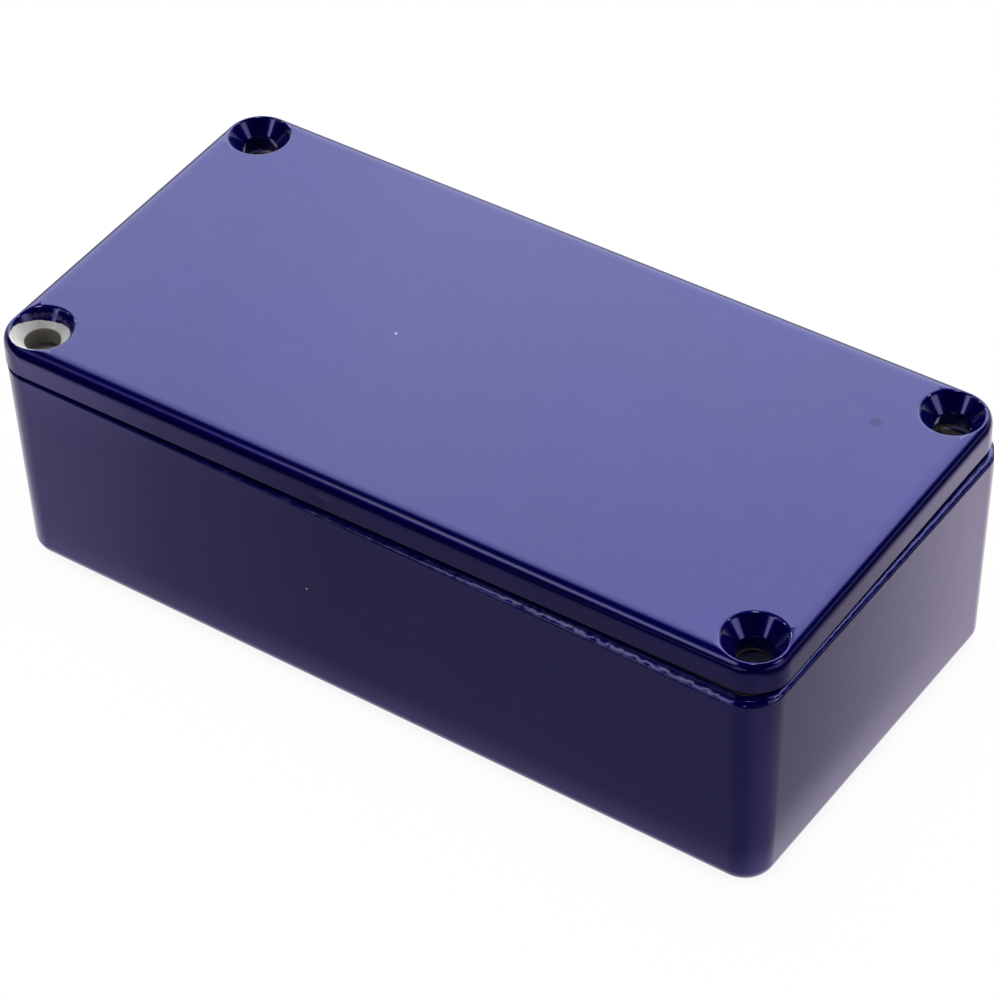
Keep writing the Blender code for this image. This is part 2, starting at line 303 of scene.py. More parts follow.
# ---------------------------------------------------------------- mesh builder
class Shape:
    """Collects grids and flat faces with their own normals, then makes one mesh from them."""

    def __init__(self):
        self.points, self.normals, self.values = [], [], []
        self.faces, self.slots = [], []
        self.count = 0

    def add(self, points, normals, faces, slot, values):
        self.points.append(points)
        self.normals.append(normals)
        self.values.append(np.broadcast_to(values, (len(points), 2)))
        self.faces += [tuple(i + self.count for i in face) for face in faces]
        self.slots += [slot] * len(faces)
        self.count += len(points)

    def grid(self, points, normals=None, slot=PAINT, closed=True, flip=False, values=PAINTED):
        """Surface over points[row, column]; closed joins the last column to the first.

        Faces look along d/dcolumn x d/drow, or the other way with flip.
        """
        rows, cols = points.shape[:2]
        if normals is None:
            normals = surface_normals(points) * (-1 if flip else 1)
        faces = []
        for r in range(rows - 1):
            near, far = r * cols, (r + 1) * cols
            for c in range(cols if closed else cols - 1):
                d = (c + 1) % cols
                quad = (near + c, near + d, far + d, far + c)
                faces.append(quad[::-1] if flip else quad)
        values = np.broadcast_to(values, (rows, cols, 2)).reshape(-1, 2)
        self.add(points.reshape(-1, 3), normals.reshape(-1, 3), faces, slot, values)

    def flat(self, outlines, z, up, slot=PAINT, filler=(), values_at=lambda points: PAINTED):
        """Flat face at height z inside the first outline and outside the others."""
        outlines = [np.asarray(o, float)[:, :2] for o in outlines]
        edges, start = [], 0
        for o in outlines:
            edges += [(start + i, start + (i + 1) % len(o)) for i in range(len(o))]
            start += len(o)
        border = np.concatenate(outlines)
        filler = np.asarray(filler, float).reshape(-1, 2)
        filler = filler[within(filler, outlines)]
        clear = [np.min(np.sum((border - p) ** 2, 1)) > 0.5 for p in filler]
        source = np.concatenate([border, filler[np.array(clear, bool)]])
        made = geometry.delaunay_2d_cdt([Vector(p) for p in source], edges, [], 0, 1e-9)
        points = np.array([tuple(p) for p in made[0]])
        # put the points back exactly where they came from, so that neighbours weld
        for i, origin in enumerate(made[3]):
            if origin:
                points[i] = source[origin[0]]
        triangles = [tuple(face) for face in made[2]]
        middles = np.array([points[list(face)].mean(0) for face in triangles])
        faces = []
        for face, kept in zip(triangles, within(middles, outlines)):
            if not kept:
                continue
            a, b, c = (points[i] for i in face)
            area = (b[0] - a[0]) * (c[1] - a[1]) - (b[1] - a[1]) * (c[0] - a[0])
            if abs(area) < 1e-10:
                continue
            faces.append(face if (area > 0) == up else face[::-1])
        normals = np.tile([0.0, 0.0, 1.0 if up else -1.0], (len(points), 1))
        self.add(with_z(points, z), normals, faces, slot, values_at(points))

    def mesh(self, name, materials, matrix=None, own_normals=True):
        """Weld points that coincide and make the mesh, in metres."""
        points = np.concatenate(self.points)
        normals = np.concatenate(self.normals)
        values = np.concatenate(self.values)
        key = np.round(points / 1e-4).astype(np.int64)
        _, first, index = np.unique(key, axis=0, return_index=True, return_inverse=True)
        index = index.reshape(-1)
        faces, slots, corners = [], [], []
        for face, slot in zip(self.faces, self.slots):
            welded, sources = [], []
            for i in face:
                j = int(index[i])
                if j not in welded:
                    welded.append(j)
                    sources.append(i)
            if len(welded) > 2:
                faces.append(welded)
                slots.append(slot)
                corners += sources
        used = np.zeros(len(first), bool)
        used[np.concatenate([np.array(face) for face in faces])] = True
        number = np.cumsum(used) - 1
        kept = first[used]
        mesh = bpy.data.meshes.new(name)
        polygons = [[int(number[i]) for i in face] for face in faces]
        mesh.from_pydata((points[kept] * MM).tolist(), [], polygons)
        for material in materials:
            mesh.materials.append(material)
        mesh.polygons.foreach_set("material_index", slots)
        for k, label in enumerate(("bare", "mark")):
            layer = mesh.attributes.new(label, "FLOAT", "POINT")
            layer.data.foreach_set("value", values[kept][:, k].astype(np.float32))
        mesh.polygons.foreach_set("use_smooth", [True] * len(faces))
        mesh.update()
        if own_normals:
            mesh.normals_split_custom_set([tuple(v) for v in normals[corners]])
        if matrix is not None:
            mesh.transform(matrix)
        return mesh


def add_object(name, data):
    obj = bpy.data.objects.new(name, data)
    bpy.context.scene.collection.objects.link(obj)
    return obj


# ---------------------------------------------------------------- shader networks
class Value:
    """An output socket; arithmetic on it makes Math nodes."""

    def __init__(self, net, socket):
        self.net = net
        self.socket = socket

    def __add__(self, other):
        return self.net.math("ADD", self, other)

    def __radd__(self, other):
        return self.net.math("ADD", other, self)

    def __sub__(self, other):
        return self.net.math("SUBTRACT", self, other)

    def __rsub__(self, other):
        return self.net.math("SUBTRACT", other, self)

    def __mul__(self, other):
        return self.net.math("MULTIPLY", self, other)

    def __truediv__(self, other):
        return self.net.math("DIVIDE", self, other)

    def __abs__(self):
        return self.net.math("ABSOLUTE", self)

    def swing(self, amount):
        """A 0 to 1 pattern centred on 0 and scaled to the given full swing."""
        return (self - 0.5) * amount


class Net:
    """Writes a node tree as arithmetic."""

    def __init__(self, tree):
        self.tree = tree
        tree.nodes.clear()

    def new(self, kind, inputs=(), **settings):
        """A node; inputs maps a socket's name or index to a Value, a tuple or a number."""
        node = self.tree.nodes.new(kind)
        for name, setting in settings.items():
            setattr(node, name, setting)
        for key, value in dict(inputs).items():
            socket = node.inputs[key]
            if isinstance(value, Value):
                self.tree.links.new(value.socket, socket)
            elif isinstance(value, tuple):
                socket.default_value = (value + (1.0,))[:len(socket.default_value)]
            else:
                socket.default_value = value
        return node

    def node(self, kind, inputs=(), output=0, **settings):
        return Value(self, self.new(kind, inputs, **settings).outputs[output])

    def math(self, operation, first, second=0.0):
        inputs = {0: first, 1: second, 2: 0.0}
        return self.node("ShaderNodeMath", inputs, operation=operation)

    def vector(self, operation, first, second=(0, 0, 0), output="Vector"):
        inputs = {0: first, 1: second}
        return self.node("ShaderNodeVectorMath", inputs, output, operation=operation)

    def dot(self, first, second):
        return self.vector("DOT_PRODUCT", first, second, output="Value")

    def scale(self, vector, factor):
        inputs = {0: vector, "Scale": factor}
        return self.node("ShaderNodeVectorMath", inputs, "Vector", operation="SCALE")

    def xyz(self, vector):
        node = self.new("ShaderNodeSeparateXYZ", {0: vector})
        return [Value(self, socket) for socket in node.outputs]

    def light_path(self):
        node = self.new("ShaderNodeLightPath")
        return {socket.name: Value(self, socket) for socket in node.outputs}

    def ramp(self, value, over, to=(0.0, 1.0), kind="SMOOTHSTEP"):
        """Maps the range over to the range to, clamped at both ends."""
        inputs = dict(enumerate((value, *over, *to)))
        return self.node("ShaderNodeMapRange", inputs, interpolation_type=kind)

    def mix_colour(self, factor, first, second):
        inputs = {0: factor, 6: first, 7: second}
        return self.node("ShaderNodeMix", inputs, 2, data_type="RGBA", clamp_factor=True)

    def mix_number(self, factor, first, second):
        inputs = {0: factor, 2: first, 3: second}
        return self.node("ShaderNodeMix", inputs, data_type="FLOAT", clamp_factor=True)

    def mix_shader(self, factor, first, second):
        return self.node("ShaderNodeMixShader", {0: factor, 1: first, 2: second})

    def noise(self, coord, scale, detail=2.0, rough=0.5, distortion=0.0):
        inputs = {"Vector": coord, "Scale": scale, "Detail": detail,
                  "Roughness": rough, "Distortion": distortion}
        return self.node("ShaderNodeTexNoise", inputs, "Fac")

    def bump(self, height, distance, strength):
        inputs = {"Strength": strength, "Distance": distance, "Height": height}
        return self.node("ShaderNodeBump", inputs, "Normal")

    def attribute(self, name, output="Fac"):
        return self.node("ShaderNodeAttribute", output=output,
                         attribute_name=name, attribute_type="GEOMETRY")

    def coords(self, output="Object"):
        return self.node("ShaderNodeTexCoord", output=output)

    def spot(self, coord, centre, inner, outer):
        """1 within inner of the centre, fading to 0 at outer; millimetres."""
        centre = tuple(c * MM for c in centre)
        distance = self.vector("DISTANCE", coord, centre, output="Value")
        return self.ramp(distance, over=(outer * MM, inner * MM))

    def principled(self, **values):
        """Principled shader; underscores in the argument names stand for spaces."""
        inputs = {name.replace("_", " "): value for name, value in values.items()}
        return self.node("ShaderNodeBsdfPrincipled", inputs)

    def output(self, shader, kind="ShaderNodeOutputMaterial"):
        self.new(kind, {"Surface": shader})


def new_material(name):
    material = bpy.data.materials.new(name)
    material.use_nodes = True
    return material, Net(material.node_tree)


# ---------------------------------------------------------------- paint and metal
PAINT_BASE = (0.0046, 0.0022, 0.158)
PAINT_METALLIC = 0.60
SMOKY_PATCH = {"centre": (38.5, 15.9, 31.25), "inner": 0.25, "outer": 1.05}    # on the lid's top
RIM_ZONE_Z = 0.0248             # metres; the box is unseen by glossy rays above this
# small specks of missing paint: x, y, z, radius
LID_SPECKS = ((-12.9, 0.0, 31.25, 0.15),)
BOX_SPECKS = ((-7.9, -24.62, 15.0, 0.15), (47.6, -24.3, 4.6, 0.11))


def cast_metal(net, coord, tint):
    """Colour, roughness and normal of matt cast metal with flow marks and fine pits."""
    flow = net.noise(coord, scale=90.0, detail=4.0, rough=0.55, distortion=0.6)
    pits = net.noise(coord, scale=2600.0, detail=3.0, rough=0.6)
    grain = net.noise(coord, scale=900.0, detail=3.0, rough=0.6)
    mean_shade, mean_rough = 0.86, 0.36
    colour = net.scale(tint, flow.swing(0.55) + grain.swing(0.25) + mean_shade)
    rough = mean_rough + grain.swing(0.25)
    normal = net.bump(grain + pits * 0.5, distance=0.00006, strength=0.55)
    return colour, rough, normal


def glossy_paint(net, coord):
    """Blue metallic paint under a clear coat: faint clouding, a smoky patch, orange peel."""
    cloud = net.noise(coord, scale=42.0, detail=3.0)
    speckle = net.noise(coord, scale=1400.0)
    lighter = tuple(c * 1.10 for c in PAINT_BASE)
    colour = net.mix_colour(net.ramp(cloud, over=(0.35, 0.65)), PAINT_BASE, lighter)
    patch_darkening = net.spot(coord, **SMOKY_PATCH) * 0.35
    colour = net.scale(colour, 1.0 - patch_darkening)

    # weights of the orange peel, the fine speckle and the slow wave in the height
    peel = net.noise(coord, scale=640.0) * 1.0 + speckle * 0.12
    wave = net.noise(coord, scale=130.0, detail=1.0)
    normal = net.bump(peel + wave * 2.0, distance=0.000004, strength=0.9)

    # the coat: base value plus the clouding, and base weight plus mottle less the patch
    coat_rough = 0.045 + net.ramp(cloud, over=(0.45, 0.7)) * 0.012
    mottle = net.noise(coord, scale=520.0, detail=3.0, rough=0.6)
    coat_weight = 0.975 + mottle.swing(0.10) - net.spot(coord, **SMOKY_PATCH) * 0.22
    return net.principled(
        Base_Color=colour, Metallic=PAINT_METALLIC, Roughness=0.26, IOR=1.5,
        Specular_IOR_Level=0.0, Normal=normal,
        Coat_Weight=coat_weight, Coat_Roughness=coat_rough, Coat_IOR=1.5, Coat_Normal=normal)


def paint_material(name, specks, hide_rim):
    material, net = new_material(name)
    coord = net.coords()
    bare = net.attribute("bare")
    mark = net.attribute("mark")
    shader = glossy_paint(net, coord)

    # dry, rough paint where the bead on the rim was rubbed and left thin; its lighter lavender colour
    # is also a painted highlight on the bead and a painted reflection in the front left countersink
    grit = net.noise(coord, scale=1900.0, detail=3.0, rough=0.65)
    dry_paint_and_sheen = net.ramp(mark + grit.swing(0.9), over=(0.45, 0.75))
    dry_sheen_shader = net.principled(
        Base_Color=(0.075, 0.060, 0.200), Metallic=0.25, Roughness=0.30, IOR=1.55,
        Normal=net.bump(grit, distance=0.00006, strength=0.7))
    shader = net.mix_shader(dry_paint_and_sheen, shader, dry_sheen_shader)

    # bare metal where the paint is missing, with a ragged edge, and at the specks
    edge = net.noise(coord, scale=1100.0, detail=3.0, rough=0.6)
    gone = net.ramp(bare + edge.swing(0.22), over=(-0.015, 0.015))
    for x, y, z, radius in specks:
        speck = net.spot(coord, (x, y, z), inner=radius * 0.6, outer=radius * 1.5)
        speck_strength = 0.8
        gone = net.math("MAXIMUM", gone, speck * speck_strength)
    # this bare metal is about twice as light as the metal inside the box: partly its own colour,
    # partly a painted highlight that keeps the patch in the front left countersink white
    colour, rough, normal = cast_metal(net, coord, tint=(1.0, 0.955, 0.985))
    # a strongly negative mark makes the metal darker and brown
    darker_brown = net.ramp(mark, over=(-0.4, -0.9))
    colour = net.mix_colour(darker_brown, colour, (0.30, 0.275, 0.235))
    extra_rough = 0.10
    metal = net.principled(
        Base_Color=colour, Metallic=0.12, Roughness=rough + extra_rough, IOR=1.5, Normal=normal)
    shader = net.mix_shader(gone, shader, metal)

    if hide_rim:
        # the lid's low side mirrors the floor, not the rim just below it
        path = net.light_path()
        high = net.math("GREATER_THAN", net.xyz(coord)[2], RIM_ZONE_Z)
        clear = net.node("ShaderNodeBsdfTransparent")
        shader = net.mix_shader(path["Is Glossy Ray"] * high, shader, clear)
    net.output(shader)
    return material


def bare_material():
    material, net = new_material("bare_cast_metal")
    coord = net.coords()
    colour, rough, normal = cast_metal(net, coord, tint=(0.50, 0.50, 0.485))
    bare = net.attribute("bare")
    # blue overspray fades out down the wall from the rim
    drift = net.noise(coord, scale=320.0, detail=4.0, rough=0.6)
    spray = net.ramp(bare + drift.swing(1.4), over=(0.35, 0.9))
    # on the rim face under the lid the dark spray also serves as painted shade
    spray_opacity = 0.92
    colour = net.mix_colour(spray * spray_opacity, colour, (0.012, 0.010, 0.085))
    # from metal to spray
    metallic = net.mix_number(spray, 0.92, 0.15)
    rough = net.mix_number(spray, rough, 0.42)
    net.output(net.principled(
        Base_Color=colour, Metallic=metallic, Roughness=rough, IOR=1.5, Normal=normal))
    return material


def steel_material():
    """Plated steel with fine turning rings, a cloudy film and brown stains."""
    material, net = new_material("plated_screw_steel")
    coord = net.attribute("local", output="Vector")
    x, y, z = net.xyz(coord)
    # noise on radius and compressed height gives rings round the screw's axis
    radius = net.math("SQRT", x * x + y * y)
    ring_coord = net.node("ShaderNodeCombineXYZ", {0: radius * 1.0, 2: z * 0.25})
    rings = net.noise(ring_coord, scale=9000.0, detail=2.0, rough=0.6)
    film = net.noise(coord, scale=260.0, detail=3.0, rough=0.6)
    stain = net.noise(coord, scale=900.0, detail=4.0, rough=0.6)
    stain_opacity, mean_rough = 0.35, 0.24
    film_amount = net.ramp(film, over=(0.35, 0.7))
    colour = net.mix_colour(film_amount, (0.60, 0.60, 0.58), (0.50, 0.51, 0.53))
    stain_amount = net.ramp(stain, over=(0.55, 0.8)) * stain_opacity
    colour = net.mix_colour(stain_amount, colour, (0.30, 0.28, 0.25))
    net.output(net.principled(
        Base_Color=colour, Metallic=1.0, Roughness=mean_rough + stain.swing(0.2), IOR=1.5,
        Normal=net.bump(rings, distance=0.00001, strength=0.5)))
    return material


paint_box = paint_material("gloss_blue_paint_box", BOX_SPECKS, hide_rim=True)
paint_lid = paint_material("gloss_blue_paint_on_lid", LID_SPECKS, hide_rim=False)
bare_cast = bare_material()
steel = steel_material()


# ---------------------------------------------------------------- cast box
def box_filler(step):
    return filler_points(BOX_L / 2, BOX_W / 2, step)


def wall_inset(z):
    return DRAFT * (1 - z / RIM_Z)


def add_outer_wall(shape, outline, outward):
    """Rounded lower edge, wall and underside."""
    profile = []
    for k in range(11):
        turn = math.radians(90 * k / 10)
        z = UNDERSIDE_R * (1 - math.cos(turn))
        inset = UNDERSIDE_R * (1 - math.sin(turn)) + wall_inset(z)
        profile.append((inset, z, math.sin(turn), -math.cos(turn) - WALL_SLOPE * math.sin(turn)))
    for z in np.linspace(UNDERSIDE_R, WALL_TOP, 9)[1:]:
        profile.append((wall_inset(z), z, 1.0, -WALL_SLOPE))
    points, normals = sweep(outline, outward, profile)
    shape.grid(points, unit_rows(normals))
    shape.flat([points[0]], 0.0, False, filler=box_filler(4.0))


def rim_rows(outline, outward, edge_r):
    """The smooth rim: top of the wall, rounded edge and ledge.

    Also returns how far along each row is: 0 on the wall, 0 to 1 round the edge, to 2 on the ledge.
    """
    rows, along = [], []
    for z in np.linspace(WALL_TOP, RIM_Z - RIM_R, 6):
        rows.append(with_z(outline - outward * wall_inset(z), z))
        along.append(0.0)
    for k in range(1, 9):
        turn = math.radians(90 * k / 8)
        inset = edge_r * (1 - math.cos(turn))
        z = RIM_Z - edge_r * (1 - math.sin(turn))
        rows.append(with_z(outline - outward * inset[:, None], z))
        along.append(k / 8)
    for part in np.linspace(0, 1, 10)[1:]:
        inset = edge_r + (LEDGE - edge_r) * part
        rows.append(with_z(outline - outward * inset[:, None], RIM_Z))
        along.append(1.0 + part)
    return np.stack(rows), np.array(along)


def roughen_rim(points, along, rough):
    """Push the rim in and out by noise and raise a bead at its edge."""
    coarse = fractal(points * [1, 1, 0.6], wavelength=2.6, seed=1.0)
    fine = fractal(points, wavelength=0.95, seed=2.0)
    edge = smoothstep(along, -0.05, 0.35) * (1 - smoothstep(along, 1.75, 2.0))
    bead = np.exp(-((along - 0.95) / 0.38) ** 2)
    lift = edge[:, None] * rough[None] * (0.034 * coarse + 0.040 * fine)
    lift += (bead[:, None] * rough[None]) * 0.045
    moved = points + surface_normals(points) * np.clip(lift, -0.06, 0.115)[..., None]
    moved[..., 0] = np.clip(moved[..., 0], -BOX_L / 2, BOX_L / 2)
    moved[..., 1] = np.clip(moved[..., 1], -BOX_W / 2, BOX_W / 2)
    return moved


def bead_weight(outline, front, right):
    """How heavy the bead of paint on the ledge is, from column to column."""
    x, y = outline.T
    on_front = 0.80 * smoothstep(x, -10.0, -7.0) + 0.20 * smoothstep(x, 12.0, 27.0)
    on_front = on_front * (1 - 0.45 * smoothstep(x, 38.0, 46.0))
    on_right = 0.60 + 0.30 * smoothstep(y, -10.0, 20.0)
    heavy = front * on_front + (1 - front) * right * on_right
    # gaps in the bead, which break it up altogether on the left half of the front
    gaps = fractal(with_z(outline, 0.0), wavelength=1.7, seed=7.0)
    sparse = (1 - smoothstep(x, -1.0, 2.0)) * front
    heavy = heavy * np.clip(1.0 + gaps * (0.7 * front + 0.25 * (1 - front)), 0.15, 1.2)
    return heavy * np.where(sparse > 0.5, smoothstep(gaps, 0.05, 0.25), 1.0)


def bead_lean(points, along, x, edge_r, heavy, on_end):
    """How far the skin of the bead leans outwards, in degrees."""
    inset = np.stack([edge_r + (LEDGE - edge_r) * (a - 1.0) if a > 1 else edge_r * a
                      for a in along])
    width = 0.26 + 0.62 * smoothstep(x, 4.0, 26.0)
    # lean against inset, as a share of the bead's width and, on the right end, in millimetres
    lean = np.interp(inset / width[None], [0.0, 0.25, 0.6, 0.95, 1.15, 9.0],
                     [62.0, 50.0, 40.0, 33.0, 0.0, 0.0])
    end_lean = np.interp(inset, [0.0, 0.14, 0.30, 0.42, 0.60, 0.74, 9.0],
                         [70.0, 55.0, 36.0, 25.0, 17.0, 0.0, 0.0])
    lean = lean * (1 - on_end) + end_lean * on_end
    jitter = fractal(points, wavelength=0.55, seed=9.0)
    lean = np.clip(lean + 6.0 * jitter * (lean > 1), 0, 75)
    return lean * smoothstep(along, 0.85, 1.02)[:, None] * smoothstep(heavy, 0.03, 0.30)[None]


def add_rim(shape, outline, outward):
    """Rough painted rim; returns the inner edge of its ledge."""
    x, y = outline.T
    # the edge is crisp at the left and softer towards the right
    edge_r = 0.12 + 0.06 * smoothstep(x, -30.0, 14.0)
    smooth, along = rim_rows(outline, outward, edge_r)
    long_wave = fractal(with_z(outline, 0.0), wavelength=9.0, seed=3.0)
    front = smoothstep(-y, 20.0, 24.0)
    right = smoothstep(x, 45.0, 49.0)

    # the rim is roughest along the right half of the front and on the right end
    rough = 0.25 + 0.75 * front * smoothstep(x, -28.0, 0.0) + 0.55 * right * (1 - front)
    rough = np.clip(rough * (0.8 + 0.9 * long_wave), 0.12, 1.15)
    points = roughen_rim(smooth, along, rough)

    # the normals, not the points, show the uneven outward lean of the bead
    heavy = bead_weight(outline, front, right)
    lean = bead_lean(smooth, along, x, edge_r, heavy, on_end=(right * (1 - front))[None])
    normals = surface_normals(points)
    normals[..., :2] += outward[None] * np.tan(np.radians(np.clip(lean, 0, 70)))[..., None]
    normals = unit_rows(normals)
    normals[0] = with_z(outward, -WALL_SLOPE) / math.hypot(1, WALL_SLOPE)
    # where the bead leans out, mark lays on the lighter dry paint: partly rough thin paint, partly a
    # painted highlight on the bead
    mark = smoothstep(lean, 5.0, 25.0) * np.clip(heavy, 0, 1)[None]
    mark = mark * (0.42 + 0.4 * long_wave)[None]
    points[-1, :, 2] = RIM_Z
    shape.grid(points, normals, values=surface_values(-1.0, mark))
    return points[-1]


def rim_values(points):
    """Overspray on the bare rim, except round the front left hole; under the lid its dark blue is
    also painted shade.
    """
    distance = np.hypot(points[:, 0] + HOLE_X, points[:, 1] + HOLE_Y)
    return surface_values(np.where(distance < 4.6, 0.05, 1.15))


def cavity_ring(inset, z):
    inset += CAVITY_DRAFT * (RIM_Z - z) / (RIM_Z - FLOOR)
    points, _ = notched_outline(BOX_L / 2 - WALL - inset, BOX_W / 2 - WALL - inset,
                                BOSS_R + inset * 0.3, BOSS_FILLET)
    return with_z(points, z)


def add_cavity(shape, mouth, outward):
    """Wall of the cavity down to the floor; returns the floor's outline."""
    profile = []
    for k in range(1, 4):
        turn = math.radians(90 * k / 3)
        profile.append((-CAVITY_EDGE_R * (1 - math.sin(turn)),
                        RIM_Z - CAVITY_EDGE_R * (1 - math.cos(turn))))
    for z in np.linspace(RIM_Z - CAVITY_EDGE_R, FLOOR + FLOOR_R, 22)[1:]:
        profile.append((0.0, z))
    for k in range(1, 8):
        turn = math.radians(90 - 90 * k / 7)
        profile.append((FLOOR_R * (1 - math.sin(turn)), FLOOR + FLOOR_R * (1 - math.cos(turn))))
    points = np.stack([with_z(mouth, RIM_Z)] + [cavity_ring(inset, z) for inset, z in profile])
    depth = RIM_Z - points[:, :1, 2]
    # slow unevenness of the cast wall, fading out near the rim and the floor
    lumps = fractal(points, wavelength=9.0, seed=5.0)
    wall_depth = RIM_Z - FLOOR - FLOOR_R
    weight = smoothstep(depth, 1.0, 5.0) * (1 - smoothstep(depth, wall_depth - 2, wall_depth))
    points[..., :2] += outward[None] * (lumps * weight * 0.07)[..., None]
    overspray = np.clip(1.05 - depth / 5.5, 0, 1)
    shape.grid(points, slot=BARE, values=surface_values(overspray))
    return points[-1]


def add_padded_face(shape, outline, centres, z, up, filler):
    """Flat bare face with low round pads standing out of it."""
    side = 1 if up else -1
    rings = [hoop(3.0, z, centre=centre) for centre in centres]
    shape.flat([outline] + rings, z, up, BARE, filler)
    # radius, height
    profile = ((3.0, 0.0), (2.97, 0.05), (2.90, 0.12), (2.80, 0.15))
    for centre in centres:
        rows = hoops([(radius, z + side * height) for radius, height in profile], centre=centre)
        shape.grid(np.stack(rows), slot=BARE, flip=not up)
        shape.flat([rows[-1]], z + side * 0.15, up, BARE)


def add_tapped_hole(shape, centre):
    """Blind hole with a helical thread and a conical end."""
    top, bottom = RIM_Z - TAP_MOUTH, RIM_Z - TAP_DEPTH
    profile = [(TAP_R + TAP_MOUTH, RIM_Z), (TAP_R + 0.17, RIM_Z - 0.18), (TAP_R, top)]
    for z in np.arange(top - 0.05, bottom, -PITCH / 8):
        tooth = thread_tooth(z, 48, fullness=1.25)
        profile.append((TAP_R + 0.26 * tooth * smoothstep(top - z, 0.0, 0.5), z))
    end_z = bottom - TAP_R * 0.6
    profile += [(TAP_R, bottom), (0.75, bottom - TAP_R * 0.3), (0.02, end_z)]
    rows = hoops(profile, centre=centre)
    shape.grid(np.stack(rows), slot=BARE)
    shape.flat([rows[-1]], end_z, True, BARE)


def build_box():
    shape = Shape()
    outline, outward = box_outline(BOX_L / 2, BOX_W / 2, CORNER_R, step=0.30, arc_count=26)
    add_outer_wall(shape, outline, outward)
    ledge = add_rim(shape, outline, outward)

    # bare rim face between the ledge and the cavity
    hole_centres = [(sx * HOLE_X, sy * HOLE_Y) for sx, sy in HOLES]
    inner, inner_outward = notched_outline(BOX_L / 2 - WALL, BOX_W / 2 - WALL, BOSS_R, BOSS_FILLET)
    mouth = inner + inner_outward * CAVITY_EDGE_R
    hole_rings = [hoop(TAP_R + TAP_MOUTH, RIM_Z, centre=centre) for centre in hole_centres]
    shape.flat([ledge, mouth] + hole_rings, RIM_Z, True, BARE,
               filler=box_filler(0.9), values_at=rim_values)

    floor_outline = add_cavity(shape, mouth, inner_outward)
    pads = [(-22.0, -12.0), (22.0, -12.0), (-22.0, 12.0), (22.0, 12.0), (0.0, 0.0)]
    add_padded_face(shape, floor_outline, pads, FLOOR, True, box_filler(4.0))
    for centre in hole_centres:
        add_tapped_hole(shape, centre)
    return add_object("enclosure_base", shape.mesh("enclosure_base", [paint_box, bare_cast]))


# ---------------------------------------------------------------- lid
def missing_paint(hole, radius, azimuth, z):
    """Above 0 where the paint is missing round a hole; azimuth in degrees, about the box's axes."""
    if hole == 1:
        # front left: bare out to an uneven radius
        edge = 2.62 + 1.25 * (1 - np.cos(np.radians(azimuth - 112.0))) / 2
        return np.minimum(edge, 3.70) - radius
    # the others: bare below an uneven height
    height = {0: 0.05, 2: 0.40, 3: 0.30}[hole]
    return height + 0.2 * np.sin(np.radians(azimuth * 2 + 40 * hole)) - z


def edge_profile(slope):
    """Inset and drop below the top face where the top edge's normal is slope radians off vertical."""
    if slope <= 0:
        return LID_TOP_REACH, 0.0
    ratio = math.tan(slope) ** (1 / (LID_TOP_POWER - 1))
    z = 1 / (1 + ratio ** LID_TOP_POWER) ** (1 / LID_TOP_POWER)
    return LID_TOP_REACH * (1 - ratio * z), LID_TOP_REACH * (1 - z)


def lid_height(x, y):
    """Height of the top skin near the first-quadrant corner, and distance in from the outline.

    The edge rounding and the countersink's cone are melted together.
    """
    past_x = np.abs(x) - (LID_X - LID_CORNER_R)
    past_y = np.abs(y) - (LID_Y - LID_CORNER_R)
    beyond = np.hypot(np.maximum(past_x, 0), np.maximum(past_y, 0))
    inset = LID_CORNER_R - (beyond + np.minimum(np.maximum(past_x, past_y), 0))
    u = np.clip((LID_TOP_REACH - inset) / LID_TOP_REACH, 0, 1)
    edge = THICK - LID_TOP_REACH * (1 - (1 - u ** LID_TOP_POWER) ** (1 / LID_TOP_POWER))
    cone = THICK - (SINK_R - np.hypot(x - HOLE_X, y - HOLE_Y)) / SINK_TAN
    blend = 0.30
    h = np.maximum(blend - np.abs(edge - cone), 0) / blend
    return np.minimum(edge, cone) - h * h * blend / 4, inset


def corner_outline(step=0.30, arc_count=34):
    """The lid's outline round its first-quadrant corner patch, with normals."""
    corner_x, corner_y = LID_X - LID_CORNER_R, LID_Y - LID_CORNER_R
    n1 = int(round((corner_y - PATCH_Y) / step))
    n2 = int(round((corner_x - PATCH_X) / step))
    up = np.column_stack([np.full(n1, LID_X), np.linspace(PATCH_Y, corner_y, n1 + 1)[:-1]])
    turn, turn_normals = arc(corner_x, corner_y, LID_CORNER_R, 0.0, 90.0, arc_count)
    over = np.column_stack([np.linspace(corner_x, PATCH_X, n2 + 1)[1:], np.full(n2, LID_Y)])
    normals = [np.repeat([[1.0, 0.0]], n1, 0), turn_normals, np.repeat([[0.0, 1.0]], n2, 0)]
    return np.concatenate([up, turn, over]), np.concatenate(normals)


def lid_straights(inset=0.0, step=0.36):
    """Points and normal of the back, left, front and right sides between the corner patches."""
    xs = np.linspace(PATCH_X, -PATCH_X, int(round(2 * PATCH_X / step)) + 1)
    ys = np.linspace(-PATCH_Y, PATCH_Y, int(round(2 * PATCH_Y / step)) + 1)
    side_x, side_y = LID_X - inset, LID_Y - inset
    return (
        (np.array([(x, side_y) for x in xs]), (0.0, 1.0)),
        (np.array([(-side_x, y) for y in ys[::-1]]), (-1.0, 0.0)),
        (np.array([(x, -side_y) for x in xs[::-1]]), (0.0, -1.0)),
        (np.array([(side_x, y) for y in ys]), (1.0, 0.0)),
    )


def lid_outline(corner, corner_normals):
    points, normals = [], []
    for signs, (line, normal) in zip(CORNERS, lid_straights()):
        points += [mirrored(corner, signs), line[1:-1]]
        normals += [mirrored(corner_normals, signs), np.repeat([normal], len(line) - 2, 0)]
    return np.concatenate(points), np.concatenate(normals)


